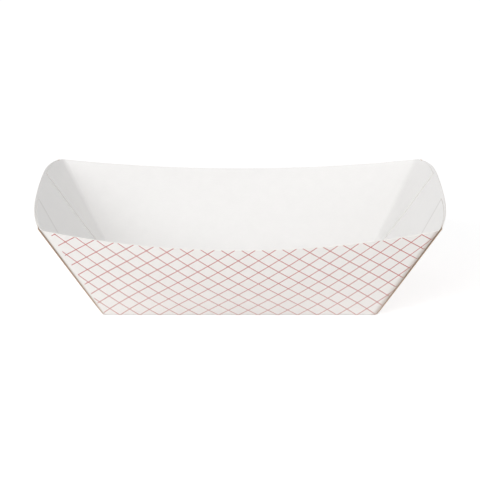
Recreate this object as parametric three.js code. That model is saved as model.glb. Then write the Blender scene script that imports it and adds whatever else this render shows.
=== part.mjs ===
// Paper food tray, folded and glued from one blank of paperboard.
// Millimetres, +Z up, the long side along X, origin at the centre of the underside.
import * as THREE from 'three';

// The board
const board = 0.45; // thickness of the paperboard

// The flat bottom, measured between its fold lines
const baseLength = 146;
const baseWidth = 98;

// The rim, measured between the four corner folds
const rimLength = 207;
const rimWidth = 144;
const cornerHeight = 54; // table to rim at a corner fold

// The long walls sag and bow between the corners
const sideDip = 8; // rim below the corners, at the middle
const sideBow = 9; // rim outside the corners, at the middle
const sideBelly = 1; // hollow curve of the wall from bottom to rim

// The end walls arch up and bow out between the corners
const endRise = 6;
const endBow = 6;
const endBelly = 0.4;
const endBowPower = 4; // a higher power gives a squarer corner to the rim

// The glue flaps: each long wall ends in a flap glued inside the end wall
const flapFoot = 3; // width of a flap at the bottom
const flapReach = 43; // width of a flap along the rim

// The creases, as the run of the bend on each side of its fold line
const baseCrease = 1.2;
const cornerCreaseFoot = 1.8;
const cornerCreaseRim = 3.2;

// Facets of the curved faces
const creaseRows = 3;
const wallRows = 8;
const sideColumns = 12; // in half a long wall
const flapColumns = 8;
const endColumns = 4; // between a flap and the middle of an end wall
const cornerColumns = 4;

const rows = creaseRows + wallRows;
const outward = 0.001; // step for slopes, as a share of a column or a row

const mix = THREE.MathUtils.lerp;
const arch = (share, power) => 1 - Math.abs(share) ** power;

// A bend from one point to another, rounding off the sharp fold between them
function bend(from, fold, to, share) {
  const first = from.clone().lerp(fold, share);
  const second = fold.clone().lerp(to, share);
  return first.lerp(second, share);
}

// One strip of board, up from the bottom, round the base crease and along the wall to the rim.
// It has a foot on the base fold, a head on the rim, and the way in towards the middle.
function stripPoint(strip, row) {
  const { foot, head, inwards, belly } = strip;
  const climb = head.clone().sub(foot).normalize();
  const wallStart = foot.clone().addScaledVector(climb, baseCrease);
  if (row <= creaseRows) {
    const flatEnd = foot.clone().addScaledVector(inwards, baseCrease);
    return bend(flatEnd, foot, wallStart, row / creaseRows);
  }
  const share = (row - creaseRows) / wallRows;
  const lean = -climb.dot(inwards);
  const bulge = belly * 4 * share * (1 - share);
  return wallStart.lerp(head, share)
    .addScaledVector(inwards, -bulge * climb.z)
    .add(new THREE.Vector3(0, 0, -bulge * lean));
}

// Strips of the long wall at +Y, from its middle (0) to the start of the corner crease (1)
function sideStrip(share) {
  const footEnd = baseLength / 2 - board - cornerRun(0);
  const headEnd = rimLength / 2 - board - cornerRun(1);
  const headX = share * headEnd;
  const sag = arch(headX / (rimLength / 2), 2);
  return {
    foot: new THREE.Vector3(share * footEnd, baseWidth / 2, 0),
    head: new THREE.Vector3(headX, rimWidth / 2 + sideBow * sag, cornerHeight - sideDip * sag),
    inwards: new THREE.Vector3(0, -1, 0),
    belly: sideBelly * sag,
  };
}

// Strips of the end wall at +X, each from a place on the base fold to a place on the rim
function endStrip(footY, headY) {
  const across = headY / (rimWidth / 2);
  const headX = rimLength / 2 + endBow * arch(across, endBowPower);
  return {
    foot: new THREE.Vector3(baseLength / 2, footY, 0),
    head: new THREE.Vector3(headX, headY, cornerHeight + endRise * arch(across, 2)),
    inwards: new THREE.Vector3(-1, 0, 0),
    belly: endBelly * arch(across, 2),
  };
}

// The flap lies on the inner face of the end wall, from the corner crease (0) to its free edge (1)
function flapStrip(share) {
  const footY = baseWidth / 2 - cornerRun(0) - share * flapFoot;
  const headY = rimWidth / 2 - cornerRun(1) - share * flapReach;
  return endStrip(footY, headY);
}

// The end wall between the flap's free edge (0) and its own middle (1)
function middleStrip(share) {
  const edge = flapStrip(1);
  return endStrip(edge.foot.y * (1 - share), edge.head.y * (1 - share));
}

// The sharp corner that the corner crease rounds off
function cornerStrip() {
  return {
    foot: new THREE.Vector3(baseLength / 2 - board, baseWidth / 2, 0),
    head: new THREE.Vector3(rimLength / 2 - board, rimWidth / 2, cornerHeight),
    inwards: new THREE.Vector3(-1, -1, 0),
    belly: 0,
  };
}

// Run of the corner crease on each side of its fold, at the foot (0) or at the rim (1)
function cornerRun(height) {
  return 2 * board + mix(cornerCreaseFoot, cornerCreaseRim, height);
}

// Unit vector out of the board's printed side, from the slopes along and up the wall
function faceNormal(stripAt, share, row) {
  const ahead = Math.min(1, share + outward);
  const behind = Math.max(0, share - outward);
  const above = Math.min(rows, row + outward);
  const below = Math.max(0, row - outward);
  const along = stripPoint(stripAt(ahead), row).sub(stripPoint(stripAt(behind), row));
  const up = stripPoint(stripAt(share), above).sub(stripPoint(stripAt(share), below));
  return up.cross(along).normalize();
}

// Way from the end wall's outer face to the flap behind it. At the bottom it is level,
// so that the flap's foot stays on the bottom's own two faces.
function layerWay(stripAt, share, row) {
  const { inwards } = stripAt(share);
  if (row >= creaseRows) return faceNormal(stripAt, share, row).negate();
  const wall = faceNormal(stripAt, share, creaseRows).negate();
  return inwards.clone().lerp(wall, row / creaseRows).normalize();
}

// A column holds the outer and the inner points of the board at one place round the tray
function plainColumn(stripAt, share) {
  const outer = [];
  const inner = [];
  for (let row = 0; row <= rows; row++) {
    const point = stripPoint(stripAt(share), row);
    outer.push(point);
    inner.push(point.clone().addScaledVector(faceNormal(stripAt, share, row), -board));
  }
  return { outer, inner };
}

// The flap alone, one board inside the end wall's outer face
function flapColumn(share) {
  const outer = [];
  const inner = [];
  for (let row = 0; row <= rows; row++) {
    const point = stripPoint(flapStrip(share), row);
    point.addScaledVector(layerWay(flapStrip, share, row), board);
    outer.push(point);
    inner.push(point.clone().addScaledVector(faceNormal(flapStrip, share, row), -board));
  }
  return { outer, inner };
}

// The corner crease, bent from the end of the long wall to the start of the flap
function cornerColumn(side, flap, share) {
  const outer = [];
  const inner = [];
  for (let row = 0; row <= rows; row++) {
    const fold = stripPoint(cornerStrip(), row);
    const sideStep = side.inner[row].clone().sub(side.outer[row]);
    const flapStep = flap.inner[row].clone().sub(flap.outer[row]);
    const innerFold = fold.clone().add(sideStep).add(flapStep);
    innerFold.z = fold.z + (sideStep.z + flapStep.z) / 2;
    outer.push(bend(side.outer[row], fold, flap.outer[row], share));
    inner.push(bend(side.inner[row], innerFold, flap.inner[row], share));
  }
  return { outer, inner };
}

// A quarter of the tray, from the middle of the long wall at +Y to the middle of the end at +X
function quarterColumns() {
  const columns = [];
  for (let i = 0; i <= sideColumns; i++) columns.push(plainColumn(sideStrip, i / sideColumns));
  const side = columns[sideColumns];
  const hinge = flapColumn(0);
  for (let i = 1; i < cornerColumns; i++) columns.push(cornerColumn(side, hinge, i / cornerColumns));
  columns.push(hinge);
  // The end wall's cut edge stands one board outside the flap
  for (let i = 0; i <= flapColumns; i++) {
    const outer = plainColumn(flapStrip, i / flapColumns).outer;
    columns.push({ outer, inner: flapColumn(i / flapColumns).inner });
  }
  // The flap's free edge stands one board inside the end wall
  columns.push(plainColumn(flapStrip, 1));
  for (let i = 1; i <= endColumns; i++) columns.push(plainColumn(middleStrip, i / endColumns));
  return columns;
}

function mirrored(columns, x, y) {
  const flip = new THREE.Vector3(x, y, 1);
  const turned = columns.map(({ outer, inner }) => ({
    outer: outer.map((point) => point.clone().multiply(flip)),
    inner: inner.map((point) => point.clone().multiply(flip)),
  }));
  return x * y < 0 ? turned.reverse() : turned;
}

// All columns, clockwise as seen from above
function ringColumns() {
  const quarter = quarterColumns();
  return [[1, 1], [1, -1], [-1, -1], [-1, 1]].flatMap(([x, y]) => mirrored(quarter, x, y));
}

// Closed skin of the tray: outer and inner faces, the cut edge along the rim, and the bottom
function trayGeometry() {
  const ring = ringColumns();
  const places = [];
  const numbers = new Map();
  const triangles = [];

  const numberOf = (point) => {
    const key = point.toArray().map((value) => Math.round(value * 1e4)).join();
    if (!numbers.has(key)) {
      numbers.set(key, places.length / 3);
      places.push(...point.toArray());
    }
    return numbers.get(key);
  };
  const addTriangle = (a, b, c) => {
    const [i, j, k] = [a, b, c].map(numberOf);
    if (i !== j && j !== k && k !== i) triangles.push(i, j, k);
  };
  const addQuad = (a, b, c, d) => {
    addTriangle(a, b, c);
    addTriangle(a, c, d);
  };
  const addBottom = (loop, up) => {
    const outline = loop.map((point) => new THREE.Vector2(point.x, point.y));
    for (const [i, j, k] of THREE.ShapeUtils.triangulateShape(outline, [])) {
      const area = THREE.ShapeUtils.area([outline[i], outline[j], outline[k]]);
      if (area * up > 0) addTriangle(loop[i], loop[j], loop[k]);
      else addTriangle(loop[i], loop[k], loop[j]);
    }
  };

  ring.forEach((here, index) => {
    const next = ring[(index + 1) % ring.length];
    for (let row = 0; row < rows; row++) {
      addQuad(here.outer[row], here.outer[row + 1], next.outer[row + 1], next.outer[row]);
      addQuad(here.inner[row], next.inner[row], next.inner[row + 1], here.inner[row + 1]);
    }
    addQuad(here.outer[rows], here.inner[rows], next.inner[rows], next.outer[rows]);
  });
  const loopOf = (side) => ring.map((column) => column[side][0])
    .filter((point, index, all) => numberOf(point) !== numberOf(all[(index + 1) % all.length]));
  addBottom(loopOf('outer'), -1);
  addBottom(loopOf('inner'), 1);

  const geometry = new THREE.BufferGeometry();
  geometry.setAttribute('position', new THREE.Float32BufferAttribute(places, 3));
  geometry.setIndex(triangles);
  geometry.computeVertexNormals();
  return geometry;
}

const paper = new THREE.MeshStandardMaterial({ color: 0xefedea, roughness: 0.7, metalness: 0 });
const tray = new THREE.Mesh(trayGeometry(), paper);
tray.name = 'food_tray';

const group = new THREE.Group();
group.add(tray);

export default group;
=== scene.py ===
import math
import bpy
import numpy as np
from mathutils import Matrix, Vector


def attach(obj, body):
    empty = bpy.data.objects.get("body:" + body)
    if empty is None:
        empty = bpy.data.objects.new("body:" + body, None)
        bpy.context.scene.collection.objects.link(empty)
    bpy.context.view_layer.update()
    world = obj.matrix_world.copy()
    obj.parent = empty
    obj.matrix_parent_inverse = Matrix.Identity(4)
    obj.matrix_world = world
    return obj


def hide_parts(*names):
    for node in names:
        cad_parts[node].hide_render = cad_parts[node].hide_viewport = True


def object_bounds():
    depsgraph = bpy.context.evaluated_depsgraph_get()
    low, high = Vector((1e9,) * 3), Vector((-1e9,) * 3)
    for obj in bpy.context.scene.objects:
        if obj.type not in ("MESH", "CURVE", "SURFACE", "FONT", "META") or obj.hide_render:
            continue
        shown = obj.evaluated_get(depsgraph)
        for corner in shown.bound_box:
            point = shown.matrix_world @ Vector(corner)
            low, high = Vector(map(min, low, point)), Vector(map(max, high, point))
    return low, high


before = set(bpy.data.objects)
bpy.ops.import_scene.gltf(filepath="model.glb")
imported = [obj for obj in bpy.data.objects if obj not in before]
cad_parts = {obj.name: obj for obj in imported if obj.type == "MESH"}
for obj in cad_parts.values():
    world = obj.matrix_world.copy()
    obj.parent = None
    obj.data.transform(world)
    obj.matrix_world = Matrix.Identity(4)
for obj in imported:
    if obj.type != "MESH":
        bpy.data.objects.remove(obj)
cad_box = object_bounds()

# Food tray
# One die-cut blank of white coated paperboard. The bottom and the two end walls run through, and
# each long wall turns round a soft corner crease into a flap that is glued inside the end wall.

# The board's thickness, the bottom between its fold lines, and the rim between its four corner
# folds
board = 0.00045
base_length, base_width = 0.146, 0.098
rim_length, rim_width = 0.207, 0.144
corner_height = 0.054
# Towards their middles the long rims dip, the end rims rise, and both bow and belly outwards
side_dip, side_bow, side_belly = 0.008, 0.009, 0.001
end_rise, end_bow, end_belly, end_bow_power = 0.006, 0.006, 0.0004, 4
# A flap's width at the bottom and at the rim, and how far below the end rim it stops
flap_foot, flap_reach = 0.0045, 0.0446
flap_drop_at_corner, flap_drop_at_edge = 0.0003, 0.0020
# Run of each crease on either side of its fold, where a corner crease has two boards more, and
# the bead that scoring raises inside the base crease
base_crease, corner_crease_foot, corner_crease_rim = 0.0012, 0.0003, 0.0016
crease_bead = 0.00012

# Faces up a wall and over the bottom, and round a quarter of the tray
crease_rows, wall_rows, bottom_rows = 6, 24, 4
side_columns, corner_columns, flap_columns, middle_columns = 44, 9, 22, 16


def unit(vectors):
    """Each vector divided by its own length."""
    return vectors / np.linalg.norm(vectors, axis=-1, keepdims=True)


def bend(start, fold, end, share):
    """Quadratic curve: start (1 - s)^2 + fold 2 s (1 - s) + end s^2."""
    return start * (1 - share) ** 2 + fold * 2 * share * (1 - share) + end * share ** 2


def corner_run(height):
    """Run of the corner crease beside its fold, straight from its foot (0) to the rim (1)."""
    return 2 * board + corner_crease_foot + (corner_crease_rim - corner_crease_foot) * height


def points(x, y, z):
    """Three numbers or arrays joined into rows of x, y, z."""
    return np.stack(np.broadcast_arrays(x, y, z), axis=-1).astype(float)


def strips(foot, head, inwards, belly, drop):
    """Strips of board: a quadratic bend round the base fold, then a line from foot to head.

    The line bulges out by belly 4 s (1 - s), and it stops short of the head by drop.
    """
    climb = unit(head - foot)
    start = foot + climb * base_crease
    flat = foot + inwards * base_crease
    share = np.linspace(0, 1, crease_rows + 1)[None, :, None]
    crease = bend(flat[:, None], foot[:, None], start[:, None], share)
    length = np.linalg.norm(head - start, axis=1)
    kept = (1 - drop / length)[:, None]
    rise = (np.linspace(0, 1, wall_rows + 1)[None, 1:] * kept)[..., None]
    lean = -np.sum(climb * inwards, axis=1)
    out = -inwards * climb[:, 2:3] - points(0, 0, lean)
    bulge = belly[:, None, None] * 4 * rise * (1 - rise) * out[:, None]
    wall = start[:, None] + (head - start)[:, None] * rise + bulge
    return np.concatenate([crease, wall], axis=1)


def normals(grid):
    """Unit cross product of the slopes up the rows and along the columns."""
    return unit(np.cross(np.gradient(grid, axis=1), np.gradient(grid, axis=0)))


def side_strips(share):
    """Long wall at +Y: both rim curves are 1 - (x / half length)^2, out by bow and down by dip."""
    foot_x = share * (base_length / 2 - board - corner_run(0))
    head_x = share * (rim_length / 2 - board - corner_run(1))
    sag = 1 - (head_x / (rim_length / 2)) ** 2
    foot = points(foot_x, base_width / 2, 0)
    head = points(head_x, rim_width / 2 + side_bow * sag, corner_height - side_dip * sag)
    return strips(foot, head, points(0 * share, -1, 0), side_belly * sag, 0 * share)


def end_strips(foot_y, head_y, drop):
    """End wall at +X: the rim bows out by 1 - |y|^4 and rises by 1 - y^2, y in half widths."""
    across = np.abs(head_y) / (rim_width / 2)
    head_x = rim_length / 2 + end_bow * (1 - across ** end_bow_power)
    arch = 1 - across ** 2
    foot = points(base_length / 2, foot_y, 0)
    head = points(head_x, head_y, corner_height + end_rise * arch)
    return strips(foot, head, points(-1 + 0 * foot_y, 0, 0), end_belly * arch, drop)


def layered(grid, facing, inwards, depth):
    """The face that lies depth inside a face, moved level at the bottom so its foot stays flat."""
    wall = -facing[:, crease_rows:crease_rows + 1]
    share = np.linspace(0, 1, crease_rows + 1)[None, :, None]
    way = -facing.copy()
    way[:, :crease_rows + 1] = unit(inwards * (1 - share) + wall * share)
    return grid + way * depth


def thick(grid, facing):
    """The inner face: the outer one moved in by the board and, in the crease, bead sin(pi s)."""
    bead = np.zeros(grid.shape[1])
    bead[:crease_rows + 1] = np.sin(np.linspace(0, np.pi, crease_rows + 1)) * crease_bead
    return grid - facing * (board + bead[None, :, None])


# A quarter of the tray runs clockwise from the middle of a long wall to the middle of an end:
# long wall, corner crease, flap inside the end wall, and end wall alone. The flap's columns
# crowd towards the corner.
flap_crowding = 1.4
along_side = np.linspace(0, 1, side_columns + 1)
along_flap = np.linspace(0, 1, flap_columns + 1) ** flap_crowding
along_middle = np.linspace(0, 1, middle_columns + 1)
to_middle = np.array([-1.0, 0.0, 0.0])

# In the planes that mirror the quarter, the board's facing has no part across them
side_outer = side_strips(along_side)
side_facing = normals(side_outer)
side_facing[0, :, 0] = 0
side_inner = thick(side_outer, unit(side_facing))

# The flap lies one board inside the end wall's outer face
flap_foot_y = base_width / 2 - corner_run(0) - along_flap * flap_foot
flap_head_y = rim_width / 2 - corner_run(1) - along_flap * flap_reach
flap_drop = flap_drop_at_corner + (flap_drop_at_edge - flap_drop_at_corner) * along_flap
glued_outer = end_strips(flap_foot_y, flap_head_y, 0 * along_flap)
glued_rim = glued_outer[:, -1] - normals(glued_outer)[:, -1] * board
cover = end_strips(flap_foot_y, flap_head_y, flap_drop)
cover_facing = normals(cover)
flap_outer = layered(cover, cover_facing, to_middle, board)
flap_inner = thick(flap_outer, cover_facing)

middle_foot_y = flap_foot_y[-1] * (1 - along_middle)
middle_head_y = flap_head_y[-1] * (1 - along_middle)
middle_outer = end_strips(middle_foot_y, middle_head_y, 0 * along_middle)
middle_facing = normals(middle_outer)
middle_facing[-1, :, 1] = 0
middle_rim = middle_outer[:, -1] - unit(middle_facing)[:, -1] * board
middle_cover = end_strips(middle_foot_y, middle_head_y, flap_drop_at_edge * (1 - along_middle))
middle_inner = thick(middle_cover, unit(middle_facing))

# The corner crease is a quadratic bend round the line where wall and flap would meet sharply
fold = strips(points(base_length / 2 - board, base_width / 2, np.zeros(1)),
              points(rim_length / 2 - board, rim_width / 2, np.full(1, corner_height)),
              points(-1, -1, np.zeros(1)), np.zeros(1), np.zeros(1))
side_step = side_inner[-1] - side_outer[-1]
flap_step = flap_inner[0] - flap_outer[0]
inner_fold = fold[0] + side_step + flap_step
inner_fold[:, 2] = fold[0, :, 2] + (side_step[:, 2] + flap_step[:, 2]) / 2
around = np.linspace(0, 1, corner_columns + 1)[1:, None, None]
corner_outer = bend(side_outer[-1], fold[0], flap_outer[0], around)
corner_inner = bend(side_inner[-1], inner_fold, flap_inner[0], around)

# The end wall isn't glued right to its side edge, which stands a little off the flap. The slit
# closes over slit_columns as (1 - s)^2, and widens from bottom to rim as sin(pi / 2 sqrt(s)).
slit_mouth, slit_columns = 0.00036, 4
closing = (1 - along_flap[:slit_columns + 1] / along_flap[slit_columns]) ** 2
widening = np.zeros(crease_rows + wall_rows + 1)
widening[crease_rows:] = np.sin(np.linspace(0, 1, wall_rows + 1) ** 0.5 * np.pi / 2)
opening = slit_mouth * closing[:, None, None] * widening[None, :, None]
sprung = opening * cover_facing[:slit_columns + 1]
wall_outer = glued_outer.copy()
wall_outer[:slit_columns + 1] += sprung
slit_rim = glued_rim[:slit_columns + 1] + sprung[:, -1]
slit_wall = np.concatenate([flap_outer[:slit_columns + 1] + sprung, slit_rim[:, None]], axis=1)
edge_outer = np.concatenate([wall_outer[0], wall_outer[0, -1:]])

# The bottom's spine is the middle line whose points are as far from the ends as from the sides
half_spine = (base_length - base_width) / 2


def from_spine(grid, height):
    """Rows along the bottom put before a grid, straight from the bottom's spine to its feet."""
    feet = grid[:, :1]
    share = np.linspace(0, 1, bottom_rows + 1)[None, :-1, None]
    middle = points(np.minimum(feet[..., 0], half_spine), 0, height)
    return np.concatenate([middle + (feet - middle) * share, grid], axis=1)


def unrolled(grid, axis):
    """Places along the flat blank: where a column starts plus the lengths of its steps."""
    steps = np.hypot(np.diff(grid[..., axis], axis=1), np.diff(grid[..., 2], axis=1))
    return grid[:, :1, axis] + np.cumsum(np.pad(steps, ((0, 0), (1, 0))), axis=1)


# Panels of the quarter. Each is a grid of points, and its faces look along the way up its rows
# crossed with the way on through its columns. With it go its kind of surface, its place on the
# flat blank, and its distance from the corner fold or the flap's edge. That distance places the
# end of the print, the glue's stain with the painted shade beside the fold, and the painted
# shadow beside the flap's free edge.
panels = []
printed, plain, cut, glued, free_edge = range(5)
# Distances that leave a face without print, or keep it clear of the stain and painted shade beside
# the fold or of the painted shadow beside a flap's free edge
past_print = -1.0
far_from_fold = 0.02
far_from_flap = 1.0


def add_panel(kind, grid, flat=None, distance=None):
    """Keeps a grid of the quarter. Without a distance it lies past the end of the print."""
    flat = np.zeros(grid.shape[:2] + (2,)) if flat is None else flat
    distance = np.full(grid.shape[:2], past_print) if distance is None else distance
    panels.append((kind, grid, flat, distance))


# The printed outside of the long wall and of the end wall, each with its part of the bottom,
# and the narrow step between the two at the foot of the corner crease
long_side = from_spine(np.concatenate([side_outer, corner_outer]), 0)
fold_x = np.interp(long_side[..., 2], fold[0, :, 2], fold[0, :, 0])
add_panel(printed, long_side, np.stack([long_side[..., 0], unrolled(long_side, 1)], axis=-1),
          fold_x - long_side[..., 0])
short_side = from_spine(np.concatenate([wall_outer, middle_outer[1:]]), 0)
add_panel(printed, short_side, np.stack([unrolled(short_side, 0), short_side[..., 1]], axis=-1),
          np.full(short_side.shape[:2], far_from_fold))
bottom_step = np.stack([long_side[-1, :bottom_rows + 1], short_side[0, :bottom_rows + 1]])
add_panel(printed, bottom_step, bottom_step[..., :2],
          np.full(bottom_step.shape[:2], far_from_fold))

# Inside the slit, and the end wall's cut side edge, which the glue has stained
add_panel(glued, flap_outer[:slit_columns + 1, crease_rows:])
add_panel(glued, slit_wall[:, :crease_rows - 1:-1])
add_panel(glued, np.stack([slit_wall[0], edge_outer]))

# The rim, in steps from the outer face to the inner one. Between the cut edges of the end wall
# and of its flap lies the strip of the end wall's inside that the flap leaves free.
long_rim = np.concatenate([side_outer, corner_outer, flap_outer[1:slit_columns + 1]])[:, -1]
all_inner = np.concatenate([side_inner, corner_inner, flap_inner[1:], middle_inner])
add_panel(cut, np.stack([long_rim, all_inner[:len(long_rim), -1]], axis=1))
add_panel(cut, np.stack([wall_outer[:slit_columns + 1, -1], slit_rim], axis=1))
glued_edges = [wall_outer[:, -1], glued_rim, flap_outer[:, -1], flap_inner[:, -1]]
middle_edges = [middle_outer[:, -1], middle_rim, middle_inner[:, -1], middle_inner[:, -1]]
short_rim = np.concatenate([np.stack(glued_edges, axis=1)[slit_columns:],
                            np.stack(middle_edges, axis=1)])
add_panel(cut, short_rim[:, :2])
add_panel(plain, short_rim[:, 1:3], None, np.full((len(short_rim), 2), far_from_flap))
add_panel(cut, short_rim[:, 2:])

# The inner face, from the rim down and over the bottom. Its distance is that from the flap's
# free edge, the narrow face that steps from the flap down to the end wall.
over = from_spine(all_inner, board)[:, ::-1]
flap_end = len(side_inner) + len(corner_inner) + flap_columns - 1
flap_span = slice(flap_end - flap_columns, flap_end + 1)
from_free_edge = np.full(over.shape[:2], far_from_flap)
from_free_edge[flap_span] = np.linalg.norm(over[flap_span] - over[flap_end], axis=-1)
from_free_edge[:, wall_rows:] = far_from_flap
add_panel(plain, over[:flap_end + 1], None, from_free_edge[:flap_end + 1])
add_panel(free_edge, over[flap_end:flap_end + 2])
add_panel(plain, over[flap_end + 1:], None, from_free_edge[flap_end + 1:])

# The print sits a little to the right: it ends close to the fold on the right, and on the left
# it leaves a strip that widens with the height. The glue's stain, together with painted shade of
# the crease, spreads wider on the right, and behind the back flaps the painted shadow beside the
# free edge starts further off. Places are merged that agree to a tenth of a micrometre.
right_bare, left_bare, left_bare_lean = 0.0003, 0.0010, 0.065
right_stain_and_shade_spread = 2.4
back_shadow_inset = 0.0025
merging_decimals = 7
sharp_angle = math.radians(38)

# All four quarters, each the mirror of its neighbour, as loose triangles. Then points that
# share a place become one, and triangles without area go.
places, flats, distances, margins, kinds = [], [], [], [], []
for side_x, side_y in ((1, 1), (1, -1), (-1, -1), (-1, 1)):
    turn = slice(None, None, side_x * side_y)
    for kind, grid, flat, distance in panels:
        columns, rows = grid.shape[:2]
        number = np.arange(columns * rows).reshape(columns, rows)
        here, there = number[:-1], number[1:]
        quads = np.stack([here[:, :-1], here[:, 1:], there[:, 1:], there[:, :-1]], axis=-1)
        corners = quads.reshape(-1, 4)[:, [0, 1, 2, 0, 2, 3]].reshape(-1)
        places.append((grid * (side_x, side_y, 1))[turn].reshape(-1, 3)[corners])
        flats.append((flat * (side_x, side_y))[turn].reshape(-1, 2)[corners])
        # Behind the back flaps, the painted shadow beside the free edge starts further off
        distance = distance + (kind == plain) * (side_y > 0) * back_shadow_inset
        bare = right_bare if side_x > 0 else left_bare + left_bare_lean * grid[..., 2]
        margins.append((distance - bare)[turn].reshape(-1)[corners])
        # On the right, the stain and the painted shade beside the fold reach further
        if kind == printed and side_x > 0:
            distance = distance / right_stain_and_shade_spread
        distances.append(distance[turn].reshape(-1)[corners])
        kinds.append(np.full(len(corners) // 3, kind))
places, flats = np.concatenate(places), np.concatenate(flats)
distances, margins = np.concatenate(distances), np.concatenate(margins)
kinds = np.concatenate(kinds)
# The crown of the end rim goes no higher than the solid's
places[:, 2] = np.minimum(places[:, 2], cad_box[1][2])
places, merged = np.unique(np.round(places, merging_decimals) + 0.0, axis=0,
                           return_inverse=True)
faces = merged.reshape(-1, 3)
first, second, third = faces[:, 0], faces[:, 1], faces[:, 2]
real = (first != second) & (second != third) & (third != first)
flats = flats.reshape(-1, 3, 2)[real]
distances, margins = distances.reshape(-1, 3)[real], margins.reshape(-1, 3)[real]
faces, kinds = faces[real], kinds[real]

tray_mesh = bpy.data.meshes.new("tray_board")
tray_mesh.from_pydata(places.tolist(), [], faces.tolist())
blank_map = tray_mesh.uv_layers.new(name="blank")
blank_map.data.foreach_set("uv", flats.reshape(-1))
for label, values in (("from_edge", distances), ("inside_print", margins)):
    layer = tray_mesh.attributes.new(label, "FLOAT", "CORNER")
    layer.data.foreach_set("value", values.reshape(-1))
tray_mesh.polygons.foreach_set("material_index", kinds)
tray_mesh.shade_smooth()
tray_mesh.set_sharp_from_angle(angle=sharp_angle)
tray_mesh.update()
tray = bpy.data.objects.new("tray_board", tray_mesh)
bpy.context.collection.objects.link(tray)


def new_group(name, inputs, outputs):
    """An empty shader node group with named inputs and outputs, and its two end nodes."""
    tree = bpy.data.node_groups.new(name, "ShaderNodeTree")
    for label, socket, value in inputs:
        made = tree.interface.new_socket(label, in_out="INPUT", socket_type=socket)
        if value is not None:
            made.default_value = value
    for label, socket in outputs:
        tree.interface.new_socket(label, in_out="OUTPUT", socket_type=socket)
    return tree, tree.nodes.new("NodeGroupInput"), tree.nodes.new("NodeGroupOutput")


def math_node(tree, operation, first, second=None):
    """A Math node whose inputs are sockets or plain numbers, and its output socket."""
    node = tree.nodes.new("ShaderNodeMath")
    node.operation = operation
    for slot, value in enumerate((first, second)):
        if value is None:
            continue
        if isinstance(value, (int, float)):
            node.inputs[slot].default_value = value
        else:
            tree.links.new(value, node.inputs[slot])
    return node.outputs[0]


def noise(tree, vector, scale, detail, roughness=0.5):
    """A Noise Texture's factor at a scale in turns to the metre."""
    node = tree.nodes.new("ShaderNodeTexNoise")
    node.inputs["Scale"].default_value = scale
    node.inputs["Detail"].default_value = detail
    node.inputs["Roughness"].default_value = roughness
    tree.links.new(vector, node.inputs["Vector"])
    return node.outputs["Fac"]


def ramp(tree, value, low, high, to_low=0.0, to_high=1.0):
    """Smooth step of a value that goes from low to high, put out from to_low to to_high."""
    node = tree.nodes.new("ShaderNodeMapRange")
    node.interpolation_type = "SMOOTHSTEP"
    node.inputs["From Min"].default_value = low
    node.inputs["From Max"].default_value = high
    node.inputs["To Min"].default_value = to_low
    node.inputs["To Max"].default_value = to_high
    tree.links.new(value, node.inputs["Value"])
    return node.outputs["Result"]


def mix_colour(tree, share, first, second, blend="MIX"):
    """A Mix node for colours. Each input is a socket, or a number or tuple."""
    node = tree.nodes.new("ShaderNodeMix")
    node.data_type = "RGBA"
    node.blend_type = blend
    for slot, value in (("Factor", share), ("A", first), ("B", second)):
        socket = next(s for s in node.inputs if s.name == slot and s.enabled)
        if isinstance(value, (int, float, tuple)):
            socket.default_value = value
        else:
            tree.links.new(value, socket)
    return next(s for s in node.outputs if s.enabled)


def mesh_number(tree, name):
    """The number that the mesh carries at each corner under a name."""
    node = tree.nodes.new("ShaderNodeAttribute")
    node.attribute_name = name
    return node.outputs["Fac"]


# Fibres: pulp lies in soft clouds about 6 mm across under the coating, with fine
# streaks along the machine direction and a grain of a few tenths of a millimetre.
cloud_turns, streak_turns, grain_turns = 160, 1500, 3600
streak_stretch = (0.35, 1.0, 1.0)
fibres, given, result = new_group(
    "pulp_fibres",
    [("Position", "NodeSocketVector", None), ("Clouds", "NodeSocketFloat", 0.5),
     ("Grain", "NodeSocketFloat", 0.5)],
    [("Shade", "NodeSocketFloat"), ("Height", "NodeSocketFloat")])
stretch = fibres.nodes.new("ShaderNodeVectorMath")
stretch.operation = "MULTIPLY"
stretch.inputs[1].default_value = streak_stretch
fibres.links.new(given.outputs["Position"], stretch.inputs[0])
clouds = noise(fibres, given.outputs["Position"], cloud_turns, detail=3)
streaks = noise(fibres, stretch.outputs[0], streak_turns, detail=2)
grain = noise(fibres, given.outputs["Position"], grain_turns, detail=2, roughness=0.6)
shares = []
for layer, amount in ((clouds, "Clouds"), (streaks, "Grain"), (grain, "Grain")):
    centred = math_node(fibres, "SUBTRACT", layer, 0.5)
    shares.append(math_node(fibres, "MULTIPLY", centred, given.outputs[amount]))
fine_shares = math_node(fibres, "ADD", shares[1], shares[2])
shade = math_node(fibres, "ADD", math_node(fibres, "ADD", shares[0], fine_shares), 1.0)
fibres.links.new(shade, result.inputs["Shade"])
fibre_height = math_node(fibres, "ADD", math_node(fibres, "MULTIPLY", clouds, 0.5),
                         math_node(fibres, "ADD", streaks, grain))
fibres.links.new(fibre_height, result.inputs["Height"])

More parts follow.
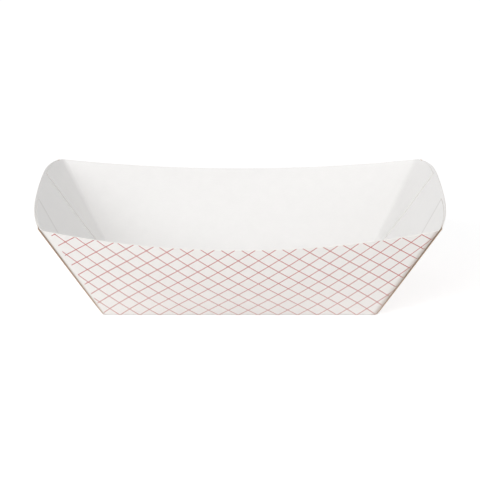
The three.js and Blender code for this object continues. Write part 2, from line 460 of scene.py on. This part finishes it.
# Lattice: two families of thin lines cross in diamonds 10.5 mm wide and 9.6 mm high, with
# a row of crossings on the base fold. The lines run where x / width plus or minus y / height
# is a whole number, and their width wavers a little.
diamond_width, diamond_height, line_width = 0.0105, 0.0096, 0.00047
lattice_start = (-0.0009, -base_width / 2)
line_softness = 0.00008
line_waver, waver_turns = 0.00016, 900
lattice, given, result = new_group(
    "diagonal_lattice",
    [("Flat", "NodeSocketVector", None), ("Line Width", "NodeSocketFloat", line_width),
     ("Softness", "NodeSocketFloat", line_softness)],
    [("Mask", "NodeSocketFloat")])
parts = lattice.nodes.new("ShaderNodeSeparateXYZ")
lattice.links.new(given.outputs["Flat"], parts.inputs[0])
from_start_x = math_node(lattice, "SUBTRACT", parts.outputs[0], lattice_start[0])
from_start_y = math_node(lattice, "SUBTRACT", parts.outputs[1], lattice_start[1])
across = math_node(lattice, "DIVIDE", from_start_x, diamond_width)
upward = math_node(lattice, "DIVIDE", from_start_y, diamond_height)
to_metres = 1 / math.hypot(1 / diamond_width, 1 / diamond_height)
width_noise = noise(lattice, given.outputs["Flat"], waver_turns, detail=2)
waver = math_node(lattice, "MULTIPLY", width_noise, line_waver)
half_line = math_node(lattice, "ADD",
                      math_node(lattice, "MULTIPLY", given.outputs["Line Width"], 0.5),
                      math_node(lattice, "SUBTRACT", waver, line_waver / 2))
family_masks = []
for slope in ("ADD", "SUBTRACT"):
    count = math_node(lattice, slope, across, upward)
    whole = math_node(lattice, "ROUND", count)
    nearest = math_node(lattice, "ABSOLUTE", math_node(lattice, "SUBTRACT", count, whole))
    from_line = math_node(lattice, "MULTIPLY", nearest, to_metres)
    past = math_node(lattice, "SUBTRACT", from_line, half_line)
    soft = math_node(lattice, "DIVIDE", past, given.outputs["Softness"])
    family_masks.append(ramp(lattice, soft, -1.0, 1.0, 1.0, 0.0))
lattice.links.new(math_node(lattice, "MAXIMUM", *family_masks), result.inputs["Mask"])

# What all the board's surfaces share
bump_strength = 0.35
board_shine = 0.35
roughness_swing = 0.06
low_fibres, high_fibres = 0.8, 1.7


def board_material(name, colour, clouds, grain, roughness, bump_height):
    """A paper shader with colour, bump and roughness from the fibre group.

    It gives the material, its tree, its shader and the socket of its colour.
    """
    material = bpy.data.materials.new(name)
    material.use_nodes = True
    tree = material.node_tree
    shader = tree.nodes["Principled BSDF"]
    position = tree.nodes.new("ShaderNodeTexCoord").outputs["Object"]
    fibre = tree.nodes.new("ShaderNodeGroup")
    fibre.node_tree = fibres
    fibre.inputs["Clouds"].default_value = clouds
    fibre.inputs["Grain"].default_value = grain
    tree.links.new(position, fibre.inputs["Position"])
    tinted = mix_colour(tree, 1.0, colour, fibre.outputs["Shade"], "MULTIPLY")
    bump = tree.nodes.new("ShaderNodeBump")
    bump.inputs["Strength"].default_value = bump_strength
    bump.inputs["Distance"].default_value = bump_height
    tree.links.new(fibre.outputs["Height"], bump.inputs["Height"])
    tree.links.new(bump.outputs["Normal"], shader.inputs["Normal"])
    tree.links.new(tinted, shader.inputs["Base Color"])
    rough = ramp(tree, fibre.outputs["Height"], low_fibres, high_fibres,
                 roughness - roughness_swing, roughness + roughness_swing)
    tree.links.new(rough, shader.inputs["Roughness"])
    shader.inputs["Specular IOR Level"].default_value = board_shine
    return material, tree, shader, tinted


# Printed outside: clay-coated white with the red lattice. It ends short of each corner fold, as
# the flap beyond it stays bare for the glue. The ink has a fine grain and is thinner towards the
# bottom. Beside the fold the coat is darkened, partly by a glue stain and partly by painted shade
# of the crease turning away from the light.
white_coat = (0.84, 0.82, 0.80, 1.0)
brick_red = (0.47, 0.060, 0.046, 1.0)
stain_and_shade_grey = (0.46, 0.36, 0.30, 1.0)
print_edge_softness = 0.0001
ink_turns, ink_low, ink_high, thinnest_ink = 2600, 0.25, 0.6, 0.72
full_ink_height, ink_at_bottom = 0.030, 0.80
stain_and_shade_width, stain_and_shade_strength = 0.0016, 0.72
outside, tree, shader, paper_colour = board_material(
    "printed_outside", white_coat, clouds=0.05, grain=0.035, roughness=0.60, bump_height=0.00003)
flat_place = tree.nodes.new("ShaderNodeUVMap")
flat_place.uv_map = "blank"
pattern = tree.nodes.new("ShaderNodeGroup")
pattern.node_tree = lattice
tree.links.new(flat_place.outputs["UV"], pattern.inputs["Flat"])
inked = ramp(tree, mesh_number(tree, "inside_print"), -print_edge_softness, print_edge_softness)
ink_grain = noise(tree, flat_place.outputs["UV"], ink_turns, detail=3)
density = ramp(tree, ink_grain, ink_low, ink_high, thinnest_ink, 1.0)
place = tree.nodes.new("ShaderNodeSeparateXYZ")
tree.links.new(tree.nodes.new("ShaderNodeTexCoord").outputs["Object"], place.inputs[0])
by_height = ramp(tree, place.outputs["Z"], 0.0, full_ink_height, ink_at_bottom, 1.0)
thinned = math_node(tree, "MULTIPLY", density, by_height)
inked_lines = math_node(tree, "MULTIPLY", pattern.outputs["Mask"], inked)
ink = math_node(tree, "MULTIPLY", inked_lines, thinned)
stain_and_shade = ramp(tree, mesh_number(tree, "from_edge"), 0.0, stain_and_shade_width, stain_and_shade_strength, 0.0)
stained_and_shaded = mix_colour(tree, stain_and_shade, mix_colour(tree, ink, paper_colour, brick_red), stain_and_shade_grey)
tree.links.new(stained_and_shaded, shader.inputs["Base Color"])

# Plain inside: the same coat without print, a little smoother. A faint grey band of painted
# shadow lies beside the free edge of the front flaps, where the flap steps down to the end wall,
# and hardly any lies beside the back ones.
inside_coat = (0.86, 0.85, 0.84, 1.0)
flap_shadow_grey = (0.30, 0.27, 0.24, 1.0)
flap_shadow_width, flap_shadow_strength = 0.0035, 0.26
inside, tree, shader, paper_colour = board_material(
    "plain_inside", inside_coat, clouds=0.04, grain=0.03, roughness=0.55, bump_height=0.00003)
painted_flap_shadow = ramp(tree, mesh_number(tree, "from_edge"), 0.0, flap_shadow_width, flap_shadow_strength, 0.0)
tree.links.new(mix_colour(tree, painted_flap_shadow, paper_colour, flap_shadow_grey), shader.inputs["Base Color"])

# Cut edge: the bare pulp between the coats, open and rough
pulp_core = (0.85, 0.83, 0.80, 1.0)
cut_edge = board_material("cut_edge", pulp_core, clouds=0.10, grain=0.16, roughness=0.85,
                          bump_height=0.00008)[0]

# Glue: dried tan on both faces of the slit and on the end wall's cut side edge
glue_tan = (0.58, 0.42, 0.30, 1.0)
dry_glue = board_material("dry_glue", glue_tan, clouds=0.20, grain=0.10, roughness=0.45,
                          bump_height=0.00005)[0]

# The free edges of the flaps, greyed with painted shade so that they show no brighter than the
# wall beside them
edge_white_with_shade = (0.79, 0.77, 0.75, 1.0)
flap_edge = board_material("flap_edge", edge_white_with_shade, clouds=0.10, grain=0.08, roughness=0.70,
                           bump_height=0.00004)[0]

# In the order of the kinds of surface
for material in (outside, inside, cut_edge, dry_glue, flap_edge):
    tray_mesh.materials.append(material)
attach(tray, "root")
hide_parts("food_tray")

# Floor
# A plain pale sweep that the tray stands on. To the camera it is white apart from the shadow.
floor_size = 6.0
floor_height = -0.0001
floor_white = (0.92, 0.92, 0.92, 1.0)
floor_seen = (0.62, 0.62, 0.62, 1.0)
floor_glow = 0.58
pure_white = (1.0, 1.0, 1.0, 1.0)
floor_mesh = bpy.data.meshes.new("floor")
floor_mesh.from_pydata([(x, y, floor_height) for x, y in (
    (-floor_size, -floor_size), (floor_size, -floor_size),
    (floor_size, floor_size), (-floor_size, floor_size))], [], [(0, 1, 2, 3)])
floor = bpy.data.objects.new("floor", floor_mesh)
bpy.context.collection.objects.link(floor)


def seen_directly(tree):
    """1 for rays from the camera or by way of gloss or glass, 0 for those that gather light."""
    rays = tree.nodes.new("ShaderNodeLightPath")
    mirrored = math_node(tree, "MAXIMUM", rays.outputs["Is Glossy Ray"],
                         rays.outputs["Is Transmission Ray"])
    return math_node(tree, "MAXIMUM", rays.outputs["Is Camera Ray"], mirrored)


floor_material = bpy.data.materials.new("pale_floor")
floor_material.use_nodes = True
tree = floor_material.node_tree
shader = tree.nodes["Principled BSDF"]
shader.inputs["Roughness"].default_value = 0.9
shader.inputs["Specular IOR Level"].default_value = 0.0
seen = seen_directly(tree)
tree.links.new(mix_colour(tree, seen, floor_white, floor_seen), shader.inputs["Base Color"])
shader.inputs["Emission Color"].default_value = pure_white
tree.links.new(math_node(tree, "MULTIPLY", seen, floor_glow), shader.inputs["Emission Strength"])
floor_mesh.materials.append(floor_material)

# Light and camera
# A large soft box up in front on the left, weaker ones on the right and behind, and a white
# room around, which to the camera is pure white.
room_light = 0.575
world = bpy.data.worlds.new("white_room")
bpy.context.scene.world = world
world.use_nodes = True
tree = world.node_tree
background = tree.nodes["Background"]
background.inputs["Color"].default_value = pure_white
tree.links.new(ramp(tree, seen_directly(tree), 0.0, 1.0, room_light, 1.0),
               background.inputs["Strength"])

lamp_aim = (0, 0, 0.03)


def soft_box(name, place, size, watts):
    """A square area lamp at a place, pointed at the tray."""
    data = bpy.data.lights.new(name, "AREA")
    data.size = size
    data.energy = watts
    lamp = bpy.data.objects.new(name, data)
    bpy.context.collection.objects.link(lamp)
    lamp.location = place
    away = np.array(place) - lamp_aim
    lamp.rotation_euler = (math.acos(away[2] / np.linalg.norm(away)), 0,
                           math.atan2(away[1], away[0]) + math.pi / 2)


soft_box("key", (-0.85, -1.4, 0.9), size=0.9, watts=14.8)
soft_box("fill", (1.0, -1.3, 0.7), size=0.9, watts=5)
soft_box("back", (-0.7, 1.4, 0.7), size=0.9, watts=2.2)

camera_distance, camera_elevation = 1.19, math.radians(17.0)
look_at_height = 0.027
camera_data = bpy.data.cameras.new("camera")
camera_data.sensor_width = 36
camera_data.lens = 162
camera_data.clip_start = 0.01
camera = bpy.data.objects.new("camera", camera_data)
bpy.context.collection.objects.link(camera)
camera.location = (0, -camera_distance * math.cos(camera_elevation),
                   look_at_height + camera_distance * math.sin(camera_elevation))
camera.rotation_euler = (math.pi / 2 - camera_elevation, 0, 0)
bpy.context.scene.camera = camera
bpy.context.scene.view_settings.view_transform = "Standard"
